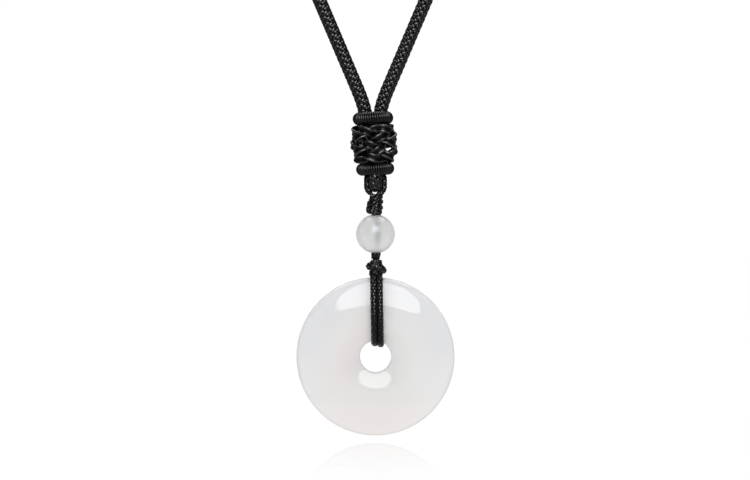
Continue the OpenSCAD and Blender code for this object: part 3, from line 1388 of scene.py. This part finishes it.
@dataclass(frozen=True)
class BeadFinish:
    """Polished half-clear agate of the bead, with the dark thread in its bore painted on as a soft
    darker strip.

    The strip fades over strip_m and is weaker in the lower half; its stronger upper half is painted
    shadow of the knot above. The stone is painted paler towards its outline as seen from the front, a
    painted light standing in for light that comes through its thin edges; this is full where the square
    of the distance from the middle is the reach given for it, in square metres.
    """

    name: str = "bead_agate"
    milk: Colour = (0.715, 0.715, 0.706, 1.0)
    pale: Colour = (0.74, 0.737, 0.72, 1.0)
    painted_rim_light: Colour = (0.93, 0.93, 0.925, 1.0)
    bore: Colour = (0.34, 0.39, 0.44, 1.0)
    bore_m: float = 0.0005
    strip_m: Span = (0.0001, 0.0011)
    knot_shadow_m: Span = (0.0005, 0.0028)
    lower_share: float = 0.55
    painted_rim_light_reach: float = 1.33e-5
    cloud_scale: float = 260.0

    def make(self, clouds: Tree) -> Material:
        """Builds the material.

        Args:
            clouds: The group of clouds inside agate.

        Returns:
            The material.
        """
        material, tree, shader = new_material(self.name)
        at = centred(tree, HANGING.at(0, 0, HANGING.bead_z))
        cloud = node(tree, "Group", node_tree=clouds, Place=at, Scale=self.cloud_scale).outputs["Milk"]
        way = node(tree, "SeparateXYZ", at).outputs
        aside = maths(tree, "ABSOLUTE", maths(tree, "SUBTRACT", way["X"], self.bore_m))
        # The strip is stronger in the upper half: painted shadow of the knot above the bead.
        upper = ramp(tree, way["Z"], *self.knot_shadow_m, self.lower_share, 1.0)
        bore = maths(tree, "MULTIPLY", soft_edge(tree, aside, *self.strip_m), upper)
        stone = mixed(tree, bore, mixed(tree, cloud, self.milk, self.pale), self.bore)
        # Painted light: the stone turns paler towards its outline as seen from the front, standing in
        # for light through its thin edges.
        flat = on_face(tree, at)
        square = node(tree, "VectorMath", flat, flat, operation="DOT_PRODUCT").outputs["Value"]
        colour = mixed(tree, ramp(tree, square, 0.0, self.painted_rim_light_reach), stone, self.painted_rim_light)
        facing = node(tree, "LayerWeight", Blend=0.5).outputs["Facing"]
        shine(tree, shader, Base_Color=colour, Coat_Weight=ramp(tree, facing, 0.5, 0.85, 1.0, 0.0))
        shine(tree, shader, Coat_Roughness=0.3, Coat_IOR=1.9, Specular_IOR_Level=0.1)
        shine(tree, shader, Roughness=0.35, IOR=1.54, Transmission_Weight=0.12)
        shine(tree, shader, Subsurface_Weight=1.0, Subsurface_Scale=0.004, Subsurface_Radius=WHITE[:3])
        return material


# Studio


@dataclass(frozen=True)
class Softbox:
    """Area light that faces the disc.

    It stands so many degrees over the horizon and to the right of the camera. Its
    radiance counts the white background as 1, and glossy surfaces show it only
    where it is mirrored.
    """

    name: str
    size_m: Span
    elevation: float
    azimuth: float
    distance_m: float
    radiance: float
    mirrored: bool = False
    outline: Outline = Outline.SQUARE

    def add(self, aim_m: Vector) -> None:
        """Adds the light.

        Args:
            aim_m: The point that it faces.
        """
        data = bpy.data.lights.new(self.name, "AREA")
        data.shape = self.outline.value
        data.size, data.size_y = self.size_m
        area = data.size * data.size_y * (math.pi / 4 if self.outline is Outline.OVAL else 1.0)
        data.energy = self.radiance * math.pi * area
        up, side = math.radians(self.elevation), math.radians(self.azimuth)
        away = Vector((math.sin(side) * math.cos(up), -math.cos(side) * math.cos(up), math.sin(up)))
        light = linked(bpy.data.objects.new(self.name, data))
        light.location = aim_m + away * self.distance_m
        light.rotation_euler = away.to_track_quat("Z", "Y").to_euler()
        light.visible_camera = False
        light.visible_glossy = self.mirrored


def seen_directly(tree: Tree) -> Socket:
    """Mask of what the camera sees straight or through clear stone."""
    path = node(tree, "LightPath").outputs
    return maths(tree, "MAXIMUM", path["Is Camera Ray"], path["Is Transmission Ray"])


@dataclass
class Studio:
    """Camera, lights, pale floor and white background.

    The pixel is the size of one of the photograph's at the disc, and middle is
    where the photograph's middle lies. The floor has its own brightness where it
    is seen, for soft light and in glossy surfaces, and turns into background over
    near_m from the disc. The surroundings are dim, and white straight behind,
    between two cosines of the angle.
    """

    pixel: float = 0.2057
    photo_w: int = 750
    middle: Span = (0.484, -224.41)
    distance_m: float = 1.0
    aim_z: float = -36.0
    floor_z: float = -265.4
    floor_half_m: float = 12.0
    white: float = 1.02
    floor_seen: float = 0.95
    floor_bounce: float = 0.88
    floor_mirrored: float = 0.1
    near_m: Span = (0.4, 1.2)
    gloss_m: Span = (-0.27, -0.12)
    gloss: Span = (0.15, 0.55)
    ambient: float = 0.03
    behind: Span = (0.9, 0.98)
    lights: tuple[Softbox, ...] = (
        Softbox("key_softbox", (0.67, 0.505), 30.9, 2.3, 0.8, 3.7, True, Outline.OVAL),
        Softbox("overhead_glow", (1.0, 0.5), 108, 0, 0.9, 2.4, True),
        Softbox("front_fill", (1.6, 1.2), 8, 0, 1.4, 0.88),
        Softbox("left_fill", (1.2, 1.4), 5, -105, 0.9, 0.7),
        Softbox("right_fill", (1.2, 1.4), 5, 105, 0.9, 0.7),
        Softbox("backdrop_glow", (1.6, 1.2), 8, 180, 0.9, 1.1),
    )

    def camera(self) -> None:
        """Sets the level camera in front of the disc."""
        data = bpy.data.cameras.new("camera")
        data.sensor_width = 36.0
        data.lens = data.sensor_width * self.distance_m / (self.photo_w * self.pixel * MM)
        data.clip_start, data.clip_end = 0.05, 60.0
        camera = linked(bpy.data.objects.new("camera", data))
        x, z = self.middle
        camera.location = (x * MM, HANGING.front * MM - self.distance_m, z * MM)
        camera.rotation_euler = (math.pi / 2, 0, 0)
        bpy.context.scene.camera = camera

    def world(self) -> None:
        """Makes the background white to the camera and straight behind, and dim elsewhere."""
        world = bpy.data.worlds.new("studio")
        bpy.context.scene.world = world
        world.use_nodes = True
        tree = world.node_tree
        dim = tree.nodes["Background"]
        depth = node(tree, "SeparateXYZ", node(tree, "TexCoord").outputs["Generated"]).outputs["Y"]
        shine(tree, dim, Color=WHITE, Strength=ramp(tree, depth, *self.behind, self.ambient, 1.0))
        bright = node(tree, "Background", Color=WHITE, Strength=self.white)
        mix = node(tree, "MixShader", seen_directly(tree), dim.outputs[0], bright.outputs[0])
        shine(tree, tree.nodes["World Output"], Surface=mix.outputs[0])

    def floor(self) -> None:
        """Lays the pale floor just under the disc, glossy near it."""
        bpy.ops.mesh.primitive_plane_add(size=2 * self.floor_half_m)
        floor = rename(bpy.context.object, "studio_floor")
        place(floor, Matrix.Translation((0, 0, self.floor_z * MM)))
        material, tree, shader = new_material("pale_floor")
        at = node(tree, "TexCoord").outputs["Object"]
        depth = node(tree, "SeparateXYZ", at).outputs["Y"]
        disc = HANGING.at(0, 0, self.aim_z) * MM
        apart = node(tree, "VectorMath", at, disc, operation="DISTANCE").outputs["Value"]
        near = ramp(tree, apart, *self.near_m, 1.0, 0.0)
        coat = maths(tree, "MULTIPLY", ramp(tree, depth, *self.gloss_m, *self.gloss), near)
        seen = ramp(tree, near, 0.0, 1.0, self.white, self.floor_seen)
        mirrored = node(tree, "LightPath").outputs["Is Glossy Ray"]
        unseen = ramp(tree, mirrored, 0.0, 1.0, self.floor_bounce, self.floor_mirrored)
        glow = ramp(tree, seen_directly(tree), 0.0, 1.0, unseen, seen)
        shine(tree, shader, Base_Color=(0.08, 0.08, 0.08, 1.0), Roughness=1.0, Specular_IOR_Level=0.0)
        shine(tree, shader, Coat_Weight=coat, Coat_Roughness=0.02, Coat_IOR=1.45)
        shine(tree, shader, Emission_Color=WHITE, Emission_Strength=glow)
        material.cycles.emission_sampling = "NONE"
        floor.data.materials.append(material)

    def build(self) -> None:
        """Sets up the whole studio."""
        self.camera()
        self.floor()
        self.world()
        for light in self.lights:
            light.add(HANGING.at(0, 0, self.aim_z) * MM)
        bpy.context.scene.view_settings.view_transform = "Standard"
        bpy.context.scene.view_settings.look = "None"


def main() -> None:
    """Builds the studio and the necklace, piece by piece."""
    logging.basicConfig(level=logging.INFO, format="%(name)s: %(message)s")
    Studio().build()
    fibres = fibre_group()
    clouds = cloud_group()
    cord_yarn = YarnFinish("braided_cord", 0.23, 1.0, 1.62, 9.0, 1.2, 0.4).make(fibres)
    wound_yarn = YarnFinish("wound_cord", 0.32, 1.0, 1.5, 7.0, 1.0, 0.5).make(fibres)
    satin = YarnFinish("satin_cord", 0.36, 0.125, 2.0, 3.0, 2.0, 0.4, 2.4).make(fibres)
    thread = YarnFinish("thread", 0.15, 0.95, 1.54, 7.0, 1.0, 0.15).make(fibres)
    NeckCord().build(cord_yarn)
    low = HANGING.sleeve_bottom + HANGING.lower_ring_h / 2
    high = HANGING.sleeve_top - HANGING.upper_ring_h / 2
    WoundRing("lower_ring", 7.9, HANGING.lower_ring_h, low, 46).build(wound_yarn)
    WoundRing("upper_ring", 8.4, HANGING.upper_ring_h, high, 48).build(wound_yarn)
    WovenSleeve().build(satin)
    HangerLoop().build(thread)
    upper_turns = (
        Wrap((0.02, -0.08, -4.55), 0.9, 0.95, -34),
        Wrap((-0.1, 0.0, -5.3), 0.98, 0.95, -14),
        Wrap((-0.2, 0.0, -6.35), 1.0, 0.95, -4),
        Wrap((-0.3, 0.05, -7.0), 0.95, 0.88, 12),
    )
    lower_turns = (
        Wrap((-0.15, -0.1, -18.4), 1.08, 1.0, 2),
        Wrap((0.42, -0.15, -18.5), 1.2, 1.0, 30),
        Wrap((0.45, 0.0, -18.9), 1.15, 0.95, 14),
        Wrap((0.1, 0.1, -19.75), 0.75, 0.8, -8),
    )
    ThreadKnot("upper_knot", (-3.9, -7.5), -0.1, upper_turns).build(thread)
    BeadThread().build(thread)
    StoneBead().build(BeadFinish().make(clouds))
    ThreadKnot("lower_knot", (-17.4, -20.6), 0.1, lower_turns).build(thread)
    DiscStrand("left_strand", -1).build(thread)
    DiscStrand("right_strand", 1).build(thread)
    AgateDisc().build(DiscFinish().make(clouds))


if __name__ == "__main__":
    main()
